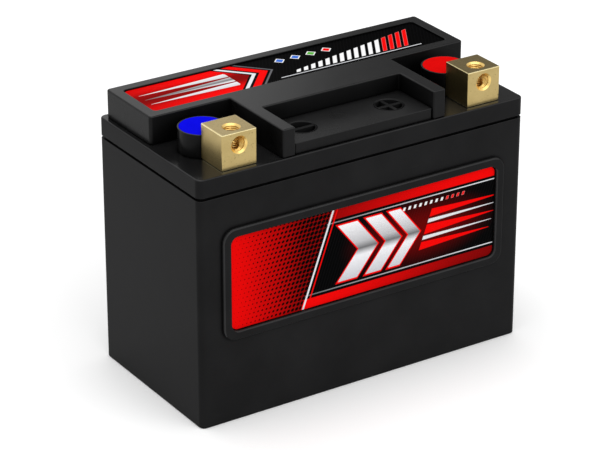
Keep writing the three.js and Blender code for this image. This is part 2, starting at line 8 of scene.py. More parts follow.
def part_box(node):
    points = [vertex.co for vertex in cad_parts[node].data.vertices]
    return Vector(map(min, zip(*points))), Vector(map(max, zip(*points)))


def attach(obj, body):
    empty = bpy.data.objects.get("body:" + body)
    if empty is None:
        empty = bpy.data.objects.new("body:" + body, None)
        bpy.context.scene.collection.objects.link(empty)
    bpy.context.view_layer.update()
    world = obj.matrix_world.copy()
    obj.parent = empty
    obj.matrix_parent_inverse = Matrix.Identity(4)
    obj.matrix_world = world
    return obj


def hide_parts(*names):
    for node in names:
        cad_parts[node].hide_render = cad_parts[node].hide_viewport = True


# A sealed motorcycle battery on a white table. Sizes are in millimetres, and every mesh is
# scaled to metres as it is made. +X is the long side, -Y the side with the large label.
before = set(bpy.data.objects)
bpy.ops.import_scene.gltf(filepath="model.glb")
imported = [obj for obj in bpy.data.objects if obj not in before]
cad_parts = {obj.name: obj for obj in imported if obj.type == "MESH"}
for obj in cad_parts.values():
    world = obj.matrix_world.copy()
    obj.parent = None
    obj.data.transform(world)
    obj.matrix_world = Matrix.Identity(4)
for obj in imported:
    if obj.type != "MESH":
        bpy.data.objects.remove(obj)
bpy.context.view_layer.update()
scene = bpy.context.scene
mm = 0.001
sharpAngle = 32  # an edge stays sharp above this
roundTilt = (0.3, 0.93)  # how steeply a face may lean and still count as a rounded edge
past = 1.0  # how far a cutting tool reaches past the face that it opens
cadGap = 0.05  # what the CAD leaves between pieces that rest on each other
roundShare = 0.3  # where the middle of a rounded cut lies, as a share of its size


def boxOf(node):
    low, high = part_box(node)
    return Vector(low) / mm, Vector(high) / mm


def middleOf(node):
    low, high = boxOf(node)
    return [(near + far) / 2 for near, far in zip(low, high)]


# Shapes, all drawn in millimetres, with their faces turned outwards.
def newPiece(name, points, faces):
    mesh = bpy.data.meshes.new(name)
    mesh.from_pydata([Vector(point) * mm for point in points], [], faces)
    work = bmesh.new()
    work.from_mesh(mesh)
    bmesh.ops.recalc_face_normals(work, faces=work.faces)
    work.to_mesh(mesh)
    work.free()
    piece = bpy.data.objects.new(name, mesh)
    scene.collection.objects.link(piece)
    return piece


# Square corners (x, y, radius), anticlockwise, drawn smaller by inset all round.
def outline(corners, inset=0.0, steps=8):
    points = []
    for index, (x, y, radius) in enumerate(corners):
        corner = Vector((x, y))
        back = (Vector(corners[index - 1][:2]) - corner).normalized()
        ahead = (Vector(corners[(index + 1) % len(corners)][:2]) - corner).normalized()
        turn = 1 if ahead.cross(back) > 0 else -1
        bent = max(radius - turn * inset, 0.02)
        centre = corner + (back + ahead) * (inset * turn + bent)
        for step in range(steps + 1):
            angle = math.pi / 2 * step / steps
            points.append(centre - bent * (ahead * math.cos(angle) + back * math.sin(angle)))
    return points


def rectangle(x, y, radius=0.0):
    return [(x[0], y[0], radius), (x[1], y[0], radius), (x[1], y[1], radius), (x[0], y[1], radius)]


def circle(radius, sides, x=0.0, y=0.0):
    turns = [2 * math.pi * side / sides for side in range(sides)]
    return [(x + radius * math.cos(turn), y + radius * math.sin(turn)) for turn in turns]


# The faces between neighbouring rows of points, where each row runs round to its start. A
# hollow body joins its last row to its first.
def rowFaces(rows, hollow=False):
    faces = []
    for low, high in zip(rows, rows[1:] + rows[:1] if hollow else rows[1:]):
        for i in range(len(low)):
            j = (i + 1) % len(low)
            faces.append(tuple(dict.fromkeys((low[i], low[j], high[j], high[i]))))
    return faces


# A skin over rings of points (x, y, height), closed at both ends unless it is hollow.
def skin(name, rings, hollow=False):
    points = [point for ring in rings for point in ring]
    rows = [range(start, start + len(rings[0])) for start in range(0, len(points), len(rings[0]))]
    ends = [] if hollow else [tuple(reversed(rows[0])), tuple(rows[-1])]
    return newPiece(name, points, rowFaces(rows, hollow) + ends)


# Heights and insets round a quarter of a circle, from its flat side to its upright one.
def quarter(radius, steps):
    angles = [math.pi / 2 * step / steps for step in range(steps + 1)] if radius else [0.0]
    return [(radius * (1 - math.cos(angle)), radius * (1 - math.sin(angle))) for angle in angles]


# Heights and insets of an upright side that is rounded at its foot and its top.
def softEnds(bottom, top, footRound=0.0, topRound=0.0, steps=4):
    foot = [(bottom + rise, inset) for rise, inset in quarter(footRound, steps)]
    return foot + [(top - drop, inset) for drop, inset in reversed(quarter(topRound, steps))]


# Rings of an outline, one at each (height, inset) of a profile.
def ringsOf(corners, profile, steps=8):
    return [[(x, y, height) for x, y in outline(corners, inset, steps)] for height, inset in profile]


def prism(name, corners, profile, steps=8):
    return skin(name, ringsOf(corners, profile, steps))


def block(name, x, y, z):
    return prism(name, rectangle(x, y), [(z[0], 0.0), (z[1], 0.0)], 1)


# The points of a profile. A third number cuts its corner off by that much, and True after it
# rounds the cut.
def eased(profile):
    points = []
    for index, (radius, height, *ease) in enumerate(profile):
        if not ease:
            points.append((radius, height))
            continue
        ways = []
        for reach, level, *_ in (profile[index - 1], profile[(index + 1) % len(profile)]):
            ways.append(((reach > radius) - (reach < radius), (level > height) - (level < height)))
        (before, foot), (after, head) = ways
        bend, size = ease[0] * roundShare, ease[0]
        points.append((radius + size * before, height + size * foot))
        if len(ease) > 1:
            points.append((radius + bend * (before + after), height + bend * (foot + head)))
        points.append((radius + size * after, height + size * head))
    return points


# A body turned about an upright axis at (x, y) from the (radius, height) corners of its profile.
def turned(name, profile, x=0.0, y=0.0, sides=64, hollow=False):
    points, rows = [], []
    for radius, height in eased(profile):
        start = len(points)
        points += [(*spot, height) for spot in circle(radius, sides if radius else 1, x, y)]
        rows.append(range(start, start + sides) if radius else [start] * sides)
    return newPiece(name, points, rowFaces(rows, hollow))


def rod(name, radius, x, y, z, sides=48):
    return turned(name, [(0, z[0]), (radius, z[0]), (radius, z[1]), (0, z[1])], x, y, sides)


# A threaded rod, its top at the origin, with a flare for the countersink and a cone below. The
# thread starts where the flare has run out.
def threadRod(name, inner, outer, pitch, depth, flare=0.0, tip=0.0, sides=48, perTurn=10):
    count = int((depth - flare) / pitch * perTurn)
    rings = [(inner + flare, past), (inner + flare, 0.0)] if flare else [(inner, past)]
    points = [(0, 0, past)]
    for radius, height in rings:
        points += [(*spot, height) for spot in circle(radius, sides)]
    for row in range(count + 1):
        height = -flare - (depth - flare) * row / count
        fade = min(1.0, (-flare - height) / pitch, (depth + height) / pitch)
        for side, (x, y) in enumerate(circle(1.0, sides)):
            phase = (height / pitch - side / sides) % 1.0
            ridge = max(0.0, 1 - abs(phase - 0.5) * 2.4)
            radius = inner + (outer - inner) * ridge * fade
            points.append((radius * x, radius * y, height))
    points.append((0, 0, -depth - tip))
    last = len(points) - 1
    rows = [[0] * sides, *[range(row, row + sides) for row in range(1, last, sides)], [last] * sides]
    return newPiece(name, points, rowFaces(rows))


def spin(angle, axis):
    return Matrix.Rotation(math.radians(angle), 4, axis)


def place(piece, x=0.0, y=0.0, z=0.0, turn=None):
    if turn:
        piece.data.transform(spin(*turn))
    piece.data.transform(Matrix.Translation(Vector((x, y, z)) * mm))
    return piece


# Cuts tools out of a piece, or joins them on, and keeps the resulting mesh.
def cut(piece, tools, operation="DIFFERENCE"):
    for tool in tools:
        step = piece.modifiers.new("cut", "BOOLEAN")
        step.operation = operation
        step.solver = "EXACT"
        step.material_mode = "TRANSFER"
        step.object = tool
    bpy.context.view_layer.update()
    seen = piece.evaluated_get(bpy.context.evaluated_depsgraph_get())
    mesh = bpy.data.meshes.new_from_object(seen)
    piece.modifiers.clear()
    piece.data = mesh
    for tool in tools:
        bpy.data.objects.remove(tool)
    return piece


def join(piece, tools):
    return cut(piece, tools, "UNION")


# True on the rounds along upper edges, and on the frame's rounds that face up or left, which get a painted
# highlight.
def isRounded(face):
    least, most = roundTilt
    if face.center.y < -(halfWidth + cadGap) * mm:
        return least < -face.normal.y < most and face.normal.z - face.normal.x > 0.2
    return least < face.normal.z < most


# Gives a piece its finish, its body and the CAD nodes that it stands for. Edge, a lighter finish that
# paints a highlight, goes on the rounded edges, and sides on the upright faces.
def dress(piece, material, nodes, edge=None, sides=None, body="battery"):
    mesh = piece.data
    if material:
        mesh.materials.clear()
        for finish in (material, edge or material, sides or material):
            mesh.materials.append(finish)
        for face in mesh.polygons:
            upright = abs(face.normal.z) < roundTilt[0]
            face.material_index = 1 if edge and isRounded(face) else 2 if sides and upright else 0
    for face in mesh.polygons:
        face.use_smooth = True
    mesh.set_sharp_from_angle(angle=math.radians(sharpAngle))
    even = piece.modifiers.new("even shading", "WEIGHTED_NORMAL")
    even.keep_sharp = True
    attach(piece, body)
    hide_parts(*nodes)


# Small helpers for building materials. A socket takes a number, a colour or a link, and each
# helper works in the node tree of the sockets that it is given.
def feed(socket, value):
    if isinstance(value, bpy.types.NodeSocket):
        socket.id_data.links.new(value, socket)
    else:
        socket.default_value = value


def addNode(tree, kind, sockets, **settings):
    made = tree.nodes.new("ShaderNode" + kind)
    for name, value in settings.items():
        setattr(made, name, value)
    for socket, value in sockets.items():
        feed(made.inputs[socket], value)
    return made.outputs


def newMaterial(name, roughness, specular, metallic=0.0):
    material = bpy.data.materials.new(name)
    material.use_nodes = True
    shader = material.node_tree.nodes["Principled BSDF"]
    shader.inputs["Roughness"].default_value = roughness
    shader.inputs["Specular IOR Level"].default_value = specular
    shader.inputs["Metallic"].default_value = metallic
    return material, material.node_tree, shader.inputs


# The place on the surface in millimetres.
def placeInMm(tree, stretch=(1, 1, 1)):
    where = addNode(tree, "TexCoord", {})["Object"]
    scale = [value / mm for value in stretch]
    return addNode(tree, "Mapping", {"Vector": where, "Scale": scale})["Vector"]


def noise(where, size, detail=3.0, roughness=0.55):
    sockets = {"Vector": where, "Scale": 1 / size, "Detail": detail, "Roughness": roughness}
    return addNode(where.id_data, "TexNoise", sockets)["Fac"]


def calc(operation, *values):
    tree = next(value for value in values if isinstance(value, bpy.types.NodeSocket)).id_data
    return addNode(tree, "Math", dict(enumerate(values)), operation=operation)[0]


def plus(a, b):
    return calc("ADD", a, b)


def minus(a, b):
    return calc("SUBTRACT", a, b)


# Numbers multiplied, or masks laid over each other.
def times(total, *others):
    for other in others:
        total = calc("MULTIPLY", total, other)
    return total


# Carries a value from one range to another, held at both ends.
def fit(value, low, high, toLow=0.0, toHigh=1.0, smooth=False):
    sockets = {"Value": value, "From Min": low, "From Max": high, "To Min": toLow, "To Max": toHigh}
    kind = "SMOOTHSTEP" if smooth else "LINEAR"
    return addNode(value.id_data, "MapRange", sockets, interpolation_type=kind)[0]


def paint(mask, under, over):
    under, over = [(*ink, 1) if isinstance(ink, tuple) else ink for ink in (under, over)]
    return addNode(mask.id_data, "Mix", {0: mask, 6: under, 7: over}, data_type="RGBA")[2]


# 1 where nothing stands near a surface, down to 0 in a crease.
def openness(tree, reach):
    return addNode(tree, "AmbientOcclusion", {"Distance": reach * mm}, samples=6)["AO"]


# Relief from (height, rise) pairs, where a rise below 0 sinks.
def bump(shader, *parts):
    total = None
    for height, rise in parts:
        part = times(height, abs(rise))
        total = part if total is None else (plus if rise > 0 else minus)(total, part)
    feed(shader["Normal"], addNode(total.id_data, "Bump", {"Height": total, "Distance": mm})["Normal"])


# Black moulded plastic: faint grain, slow waves in the gloss, hairline scuffs and dust. It has
# painted shade: darker in creases, and in hollows when it is given how far to look for their walls.
plasticLook = {
    "hazeSize": 24.0,
    "lighter": 1.35,
    "grain": (0.4, 0.003),
    "waves": (16.0, 0.05),
    "scuffColour": (0.03, 0.03, 0.029),
    "scuffShare": 0.35,
    "scuffDull": 0.15,
    "creaseReach": 1.6,
    "crease": (0.35, 0.95, 0.12, 1.0),
    "hollow": (0.3, 0.85, 0.15, 1.0),
}


def mouldedPlastic(name, tint, roughness, specular, hollowReach=0.0):
    look = plasticLook
    material, tree, shader = newMaterial(name, roughness, specular)
    where = placeInMm(tree)
    haze = noise(where, look["hazeSize"], 4.0)
    hairs = fit(noise(placeInMm(tree, (0.04, 1, 0.5)), 0.7, 6.0, 0.7), 0.68, 0.74)
    dust = fit(noise(where, 0.6, 2.0), 0.76, 0.82)
    marks = times(calc("MAXIMUM", hairs, dust), look["scuffShare"])
    dull = fit(haze, 0.3, 0.7, roughness - 0.04, roughness + 0.05)
    feed(shader["Roughness"], plus(dull, times(marks, look["scuffDull"])))
    base = paint(fit(haze, 0.35, 0.7), tint, tuple(value * look["lighter"] for value in tint))
    # Painted shade: the colour is darkened toward black in creases, and in hollows when hollowReach is
    # given.
    shade = fit(openness(tree, look["creaseReach"]), *look["crease"])
    if hollowReach:
        shade = times(shade, fit(openness(tree, hollowReach), *look["hollow"]))
    marked = paint(marks, base, look["scuffColour"])
    feed(shader["Base Color"], paint(shade, (0.0, 0.0, 0.0), marked))
    bump(shader, *[(noise(where, size, 2.0), rise) for size, rise in (look["grain"], look["waves"])])
    return material


casePlastic = mouldedPlastic("case black plastic", (0.0100, 0.0100, 0.0103), 0.36, 0.03)
# Walls of the deck, bay and pots: painted shade deepens in hollows within 16 mm.
wallPlastic = mouldedPlastic("deck wall plastic", (0.0072, 0.0072, 0.0074), 0.28, 0.07, 16.0)
# A lighter copy of the case plastic for its rounded edges: a painted highlight.
caseEdgeHighlight = mouldedPlastic("case edge painted highlight", (0.020, 0.020, 0.0205), 0.3, 0.12)
lidPlastic = mouldedPlastic("lid black plastic", (0.0065, 0.0065, 0.0067), 0.19, 0.18)
lidGloss = mouldedPlastic("lid glossy top", (0.0060, 0.0060, 0.0062), 0.2, 0.27)
# The bay floor: painted shade deepens in hollows within 13 mm.
bayPlastic = mouldedPlastic("bay floor plastic", (0.0112, 0.0112, 0.0114), 0.28, 0.12, 13.0)
# A lighter copy of the lid plastic for its rounded edges: a painted highlight.
lidEdgeHighlight = mouldedPlastic("lid edge painted highlight", (0.014, 0.014, 0.0144), 0.26, 0.12)
plugPlastic = mouldedPlastic("plug black plastic", (0.0080, 0.0080, 0.0082), 0.36, 0.07)

# Brass: satin sawn faces, a paler one on the top and bottom chamfers that paints a highlight, and a
# brighter freshly cut one for threads and the chamfers of holes, darkened to brown as painted shade
# where nothing opens within deep millimetres.
brassLook = {
    "blotchSize": 6.0,
    "strokeSize": 0.25,
    "strokeHeight": 0.002,
    "dingSize": 0.8,
    "dingDepth": 0.008,
    "dingShare": 0.75,
    "dingColour": (0.10, 0.07, 0.025),
    "boreShadeColour": (0.42, 0.21, 0.035),
}


def brassFinish(name, colour, tarnish, roughness, strokeShare, deep=0.0):
    look = brassLook
    material, tree, shader = newMaterial(name, roughness, 0.5, 1.0)
    where = placeInMm(tree)
    blotches = noise(where, look["blotchSize"], 5.0, 0.6)
    strokes = noise(placeInMm(tree, (0.08, 1, 1)), look["strokeSize"], 4.0, 0.7)
    dings = fit(noise(where, look["dingSize"], 3.0), 0.66, 0.7)
    shade = paint(fit(blotches, 0.4, 0.7, 0.0, 0.5), colour, tarnish)
    shade = paint(fit(strokes, 0.3, 0.7, 0.0, strokeShare), shade, tarnish)
    shade = paint(times(dings, look["dingShare"]), shade, look["dingColour"])
    if deep:
        # Painted shade: brown deep in the holes, where nothing opens within deep millimetres.
        shade = paint(fit(openness(tree, deep), 0.05, 0.6), look["boreShadeColour"], shade)
    feed(shader["Base Color"], shade)
    feed(shader["Roughness"], fit(strokes, 0.3, 0.7, roughness - 0.05, roughness + 0.06))
    bump(shader, (strokes, look["strokeHeight"]), (dings, -look["dingDepth"]))
    return material


satinBrass = brassFinish("satin brass", (0.46, 0.352, 0.150), (0.38, 0.285, 0.112), 0.3, 0.12)
brassEdgeHighlight = brassFinish("brass edge painted highlight", (0.86, 0.74, 0.42), (0.66, 0.53, 0.24), 0.2, 0.1)
cutBrass = brassFinish("fresh cut brass", (0.84, 0.60, 0.21), (0.66, 0.43, 0.12), 0.3, 0.1, 7.0)


# Resin that was poured in: cloudy, a little wavy, with small pits.
def castResin(name, colour, deep):
    material, tree, shader = newMaterial(name, 0.55, 0.0)
    where = placeInMm(tree)
    cloud = noise(where, 4.0, 4.0)
    feed(shader["Base Color"], paint(fit(cloud, 0.4, 0.7, 0.0, 0.35), colour, deep))
    feed(shader["Roughness"], fit(cloud, 0.3, 0.7, 0.38, 0.52))
    pits = fit(noise(where, 0.9, 2.0), 0.66, 0.74)
    bump(shader, (noise(where, 3.0, 2.0), 0.06), (pits, -0.03))
    return material


blueResin = castResin("blue resin", (0.0045, 0.0045, 0.72), (0.003, 0.003, 0.6))
redResin = castResin("red resin", (0.70, 0.004, 0.004), (0.56, 0.003, 0.003))
blackRubber = mouldedPlastic("black rubber", (0.012, 0.012, 0.012), 0.6, 0.3)


# 1 between two limits, with an edge as soft as print.
def within(value, low, high, soft=0.1):
    return times(fit(value, low - soft, low + soft), fit(value, high - soft, high + soft, 1.0, 0.0))


# Repeats a value from 0 to 1 every so many millimetres.
def repeat(value, every, start=0.0):
    return calc("FRACT", calc("DIVIDE", minus(value, start), every))


def distanceTo(across, up, x, y, flat=1.0):
    dx, dy = minus(across, x), times(minus(up, y), flat)
    return calc("SQRT", plus(times(dx, dx), times(dy, dy)))


def awayFrom(value, middle):
    return calc("ABSOLUTE", minus(value, middle))


# Chrome: dark at the waist, bright above and below, over a band of heights.
def chrome(up, low, high):
    ramp = up.id_data.nodes.new("ShaderNodeValToRGB")
    feed(ramp.inputs[0], fit(up, low, high))
    stops = ramp.color_ramp.elements
    stops[0].color = (0.55, 0.56, 0.6, 1)
    stops[1].color = (0.9, 0.9, 0.92, 1)
    for spot, level in ((0.38, 0.85), (0.5, 0.16), (0.62, 0.5)):
        stops.new(spot).color = (level, level, level * 1.03, 1)
    return ramp.outputs[0]


# A long flash at one height, whose half width runs from one value to another along its length.
def flashAt(across, up, height, span, widths):
    spare = minus(fit(across, *span, *widths), awayFrom(up, height))
    return times(fit(spare, -0.1, 0.1), within(across, *span))


printColours = {
    "black": (0.0018, 0.0018, 0.0019),
    "red": (0.86, 0.003, 0.003),
    "deepRed": (0.22, 0.002, 0.002),
    "silver": (0.74, 0.75, 0.78),
    "steel": (0.13, 0.13, 0.14),
    "white": (0.86, 0.86, 0.86),
    "blue": (0.05, 0.16, 0.62),
    "green": (0.10, 0.42, 0.05),
}
beyond = 200.0  # past the edge of any label


# A laminated film. Gives its two directions too, and two that follow the print: lean slants to
# the right with height, and point is equal along a chevron.
def printedFilm(name, upAxis, look):
    material, tree, shader = newMaterial(name, 0.3, 0.002)
    where = placeInMm(tree)
    split = addNode(tree, "SeparateXYZ", {0: where})
    feed(shader["Roughness"], fit(noise(where, 12.0, 3.0), 0.3, 0.7, 0.18, 0.28))
    bump(shader, (noise(where, 2.2, 2.0), 0.006), (noise(where, 18.0, 1.0), 0.05))
    across, up = split["X"], split[upAxis]
    lean = minus(across, times(minus(up, look["middle"]), look["slant"]))
    point = plus(across, times(awayFrom(up, look["middle"]), look["slope"]))
    return material, shader, across, up, lean, point


# Lays (mask, colour) pairs over black, and fine slanted lines under them all.
def layInks(shader, lean, look, layers):
    every, share, tone = look["pinstripes"]
    colour = paint(times(within(repeat(lean, every), 0.35, 0.6), share), printColours["black"], tone)
    for mask, ink in layers:
        colour = paint(mask, colour, printColours[ink] if isinstance(ink, str) else ink)
    feed(shader["Base Color"], colour)


# A red end with a growing mesh, three chrome chevrons, and flashes that run out to the right.
frontPrint = {
    "middle": 68.6,
    "slant": 0.36,
    "slope": 0.8,
    "pinstripes": (1.6, 0.35, (0.010, 0.010, 0.011)),
    "fieldEnd": -27.0,
    "fieldFade": (-74.0, -34.0),
    "meshSpacing": 2.2,
    "meshSizes": (-70.0, -30.0, 0.05, 0.46),
    "edges": [(-26.4, 1.0, "silver"), (-24.0, 0.7, "red")],
    "chevrons": [(-4.0, 10.5), (11.0, 8.5), (23.5, 6.5)],
    "chevronHalf": 14.0,
    "outline": 0.8,
    "flashes": [(76.4, 1.9, "red"), (72.6, 0.9, "silver"), (68.6, 2.3, "red"), (64.6, 0.9, "silver"),
                (60.8, 1.9, "red")],
    "flashSpan": (33.0, 72.0),
    "glowMiddle": 30.0,
    "glowFlat": 2.4,
    "glowFade": (46.0, 6.0, 0.0, 0.55),
    "band": (86.4, beyond),
    "bandFade": (-60.0, 66.0, 0.12, 1.0),
    "footBand": (0.0, 50.6),
    "footFade": (72.0, -30.0, 0.25, 1.0),
    "lines": [(84.6, 0.5), (52.0, 0.5)],
    "lineFade": (-30.0, 60.0, 0.2, 1.0),
    "tickRow": (81.0, 82.6),
    "tickEvery": 3.0,
    "tickShare": (0.2, 0.62, 0.04),
    "ticks": (14.0, 50.0),
    "redTicks": (38.0, 50.0),
}


def frontLabelFilm():
    look, ink = frontPrint, printColours
    material, shader, x, z, lean, point = printedFilm("front label film", "Z", look)
    middle, tall, rim = look["middle"], look["chevronHalf"], look["outline"]

    # A red glow behind the chevrons, and a red band along the top and the foot.
    glow = distanceTo(x, z, look["glowMiddle"], middle, look["glowFlat"])
    layers = [
        (fit(glow, *look["glowFade"], True), "deepRed"),
        (times(within(z, *look["band"]), fit(x, *look["bandFade"], True)), "red"),
        (times(within(z, *look["footBand"]), fit(x, *look["footFade"], True)), "red"),
    ]
    for height, width in look["lines"]:
        line = times(within(z, height, height + width), fit(x, *look["lineFade"]))
        layers.append((line, "silver"))

    # The red end, its mesh of dots, and the slanted edges that close it.
    field = within(lean, -beyond, look["fieldEnd"])
    layers.append((field, paint(fit(x, *look["fieldFade"]), ink["red"], ink["deepRed"])))
    spacing = look["meshSpacing"]
    reach = distanceTo(repeat(lean, spacing), repeat(z, spacing), 0.5, 0.5)
    dots = fit(minus(fit(x, *look["meshSizes"]), reach), -0.03, 0.03)
    layers.append((times(field, dots), "black"))
    layers += [(within(lean, start, start + width), hue) for start, width, hue in look["edges"]]
    for height, width, hue in look["flashes"]:
        layers.append((flashAt(lean, z, height, look["flashSpan"], (width, 0.1)), hue))

    metal = chrome(z, middle - tall, middle + tall)
    for start, width in look["chevrons"]:
        for spare, over in ((rim, "red"), (0.0, metal)):
            face = within(point, start - spare, start + width + spare)
            layers.append((times(face, within(awayFrom(z, middle), -1.0, tall + spare)), over))

    row = times(within(z, *look["tickRow"], 0.08), within(lean, *look["ticks"]),
                within(repeat(lean, look["tickEvery"]), *look["tickShare"]))
    layers += [(row, "white"), (times(row, within(lean, *look["redTicks"])), "red")]
    layInks(shader, lean, look, layers)
    return material


# A red end closed by chevrons, a gauge that climbs to the right, and a few coloured diamonds.
topPrint = {
    "middle": 20.85,
    "slant": 0.6,
    "slope": 0.9,
    "pinstripes": (1.8, 0.15, (0.009, 0.009, 0.010)),
    "fieldEnd": -21.0,
    "fieldFade": (-80.0, -46.0, 0.55, 1.0),
    "spineFade": (2.0, 11.0, 0.0, 1.0),
    "metalHalf": 9.0,
    "chevrons": [(-19.6, 2.2, "silver"), (-15.6, 4.6, "red"), (-9.4, 1.2, "steel")],
    "wedges": [(26.4, 2.0), (20.85, 2.6), (15.3, 2.0)],
    "wedgeSpan": (-76.0, -30.0),
    "wedgeEnd": -24.0,
    "gauge": (4.0, 68.0),
    "gaugeFoot": 12.0,
    "gaugeRise": (2.4, 18.0),
    "gaugeEvery": 4.0,
    "gaugeShare": (0.1, 0.66, 0.03),
    "redGauge": (52.0, 68.0),
    "line": (9.9, 10.5),
    "lineSpan": (-4.0, 74.0),
    "diamonds": [(0.0, "blue"), (8.6, "blue"), (17.2, "green"), (25.8, "red")],
    "diamondRow": 28.2,
    "diamondSizes": (2.9, 2.2),
}


def topLabelFilm():
    look, ink = topPrint, printColours
    material, shader, x, y, lean, point = printedFilm("top label film", "Y", look)
    middle = look["middle"]
    field = within(point, -beyond, look["fieldEnd"])
    shade = times(fit(awayFrom(y, middle), *look["spineFade"], True), fit(x, *look["fieldFade"]))
    layers = [(field, paint(shade, ink["deepRed"], ink["red"]))]
    metal = chrome(y, middle - look["metalHalf"], middle + look["metalHalf"])
    for height, width in look["wedges"]:
        wedge = flashAt(x, y, height, look["wedgeSpan"], (0.1, width))
        layers.append((times(wedge, within(point, -beyond, look["wedgeEnd"])), metal))
    layers += [(within(point, start, start + width), hue) for start, width, hue in look["chevrons"]]

    # The gauge's slanted bars, the last few red.
    foot, span = look["gaugeFoot"], look["gauge"]
    height = fit(lean, *span, *look["gaugeRise"])
    bars = times(fit(minus(plus(height, foot), y), -0.12, 0.12), within(y, foot, beyond),
                 within(lean, *span),
                 within(repeat(lean, look["gaugeEvery"], span[0]), *look["gaugeShare"]))
    layers += [(bars, "white"), (times(bars, within(lean, *look["redGauge"])), "red"),
               (times(within(y, *look["line"]), within(lean, *look["lineSpan"])), "silver")]
    for across, hue in look["diamonds"]:
        reach = plus(awayFrom(x, across), awayFrom(y, look["diamondRow"]))
        for size, over in zip(look["diamondSizes"], ("white", hue)):
            layers.append((within(reach, -1.0, size), over))
    layInks(shader, lean, look, layers)
    return material


frontFilm = frontLabelFilm()
topFilm = topLabelFilm()

# Cast lead, and the pasted plates below it.
plateLook = {
    "pasteTop": 86.4,
    "gridWide": 9.0,
    "gridHigh": 5.2,
    "gridLine": 0.9,
    "gridHeight": 0.12,
    "gridShare": 0.45,
    "gridColour": (0.22, 0.22, 0.23),
}


def leadColour(where):
    bloom = noise(where, 3.5, 5.0, 0.65)
    return paint(fit(bloom, 0.4, 0.68), (0.20, 0.205, 0.215), (0.34, 0.345, 0.35))


def castLead():
    material, tree, shader = newMaterial("cast lead", 0.5, 0.5, 0.85)
    where = placeInMm(tree)
    feed(shader["Base Color"], leadColour(where))
    feed(shader["Roughness"], fit(noise(where, 2.0, 4.0), 0.3, 0.7, 0.42, 0.62))
    bump(shader, (noise(where, 1.4, 4.0), 0.06))
    return material


# Paste pressed into a grid that shows through it, with bare lead at the lugs and strap.
def pastedPlate(name, dark, pale):
    look = plateLook
    material, tree, shader = newMaterial(name, 0.85, 0.3)
    where = placeInMm(tree)
    split = addNode(tree, "SeparateXYZ", {0: where})
    wide, high, line = look["gridWide"], look["gridHigh"], look["gridLine"]
    grid = calc("MAXIMUM", within(repeat(split["Y"], wide), 0.0, line / wide, 0.02),
                within(repeat(split["Z"], high), 0.0, line / high, 0.03))
    crumbs = noise(where, 0.8, 6.0, 0.7)
    paste = paint(fit(crumbs, 0.3, 0.7), dark, pale)
    bare = fit(split["Z"], look["pasteTop"] - 0.3, look["pasteTop"] + 0.3)
    shown = paint(times(grid, look["gridShare"]), paste, look["gridColour"])
    feed(shader["Base Color"], paint(bare, shown, leadColour(where)))
    feed(shader["Metallic"], times(bare, 0.8))
    feed(shader["Roughness"], fit(bare, 0.0, 1.0, 0.88, 0.5))
    bump(shader, (crumbs, 0.08), (grid, look["gridHeight"]))
    return material


# Matted glass fibre: long crossing threads and soft lumps.
def glassFibre():
    material, tree, shader = newMaterial("glass fibre mat", 1.0, 0.1)
    feed(shader["Sheen Weight"], 0.2)
    feed(shader["Sheen Roughness"], 0.6)
    fluff = calc("MAXIMUM", noise(placeInMm(tree, (1, 0.12, 1.6)), 0.3, 5.0, 0.75),
                 noise(placeInMm(tree, (1, 1.7, 0.15)), 0.35, 5.0, 0.75))
    feed(shader["Base Color"], paint(fit(fluff, 0.4, 0.75), (0.62, 0.61, 0.58), (0.88, 0.88, 0.86)))
    bump(shader, (fluff, 0.08), (noise(placeInMm(tree), 4.0, 3.0), 0.15))
    return material


lead = castLead()
positivePaste = pastedPlate("positive paste", (0.040, 0.018, 0.010), (0.085, 0.040, 0.022))
negativePaste = pastedPlate("negative paste", (0.11, 0.115, 0.12), (0.19, 0.195, 0.20))
glassMat = glassFibre()

print("materials ready")

caseShape = {
    "cornerRadius": 3.0,
    "footRound": 0.8,
    "topRound": 0.15,
    "shoulder": 111.9,
    "seamDepth": 1.5,
    "wall": 2.6,
    "floor": 3.0,
    "partition": 2.0,
    "cells": 6,
    "chamberRadius": 1.2,
    "ribHeight": 2.5,
    "ribWidth": 3.0,
    "ribSpacing": 44.0,
    "windowRadius": 4.15,
    "windowSetback": 16.0,
    "windowHeight": 106.0,
}
frameShape = {
    "width": 152.6,
    "height": 54.6,
    "bottom": 41.3,
    "rise": 2.0,
    "rim": 4.3,
    "outerRadius": 6.5,
    "innerRadius": 3.5,
    "round": 0.9,
}

caseHigh = boxOf("case")[1]
halfLength = caseHigh.x
halfWidth = caseHigh.y  # the label's frame stands out from the wall on the other side
cells, partition = caseShape["cells"], caseShape["partition"]
cellWidth = (2 * (halfLength - caseShape["wall"]) - (cells - 1) * partition) / cells
cellPitch = cellWidth + partition
cellMiddles = [(cell - (cells - 1) / 2) * cellPitch for cell in range(cells)]
innerHalf = halfWidth - caseShape["wall"]
wallOutline = rectangle((-halfLength, halfLength), (-halfWidth, halfWidth), caseShape["cornerRadius"])


# The raised frame round the front label, swept flat and then stood up against the wall.
def labelFrame():
    size = frameShape
    half, bottom, rim = size["width"] / 2, size["bottom"], size["rim"]
    top = bottom + size["height"]
    outer = rectangle((-half, half), (bottom, top), size["outerRadius"])
    inner = rectangle((-half + rim, half - rim), (bottom + rim, top - rim), size["innerRadius"])
    rounding = softEnds(-past, size["rise"], 0.0, size["round"], 6)
    inward = [(height, -inset) for height, inset in reversed(rounding)]
    ring = skin("label frame", ringsOf(outer, rounding) + ringsOf(inner, inward), hollow=True)
    return place(ring, 0, -halfWidth, 0, turn=(90, "X"))


# Tools that hollow out the six cells, in the case or in the lid.
def cellWells(radius, bottom, top):
    wells = []
    for middle in cellMiddles:
        x = (middle - cellWidth / 2, middle + cellWidth / 2)
        well = rectangle(x, (-innerHalf, innerHalf), radius)
        wells.append(prism("well", well, [(bottom, 0.0), (top, 0.0)], 4))
    return wells


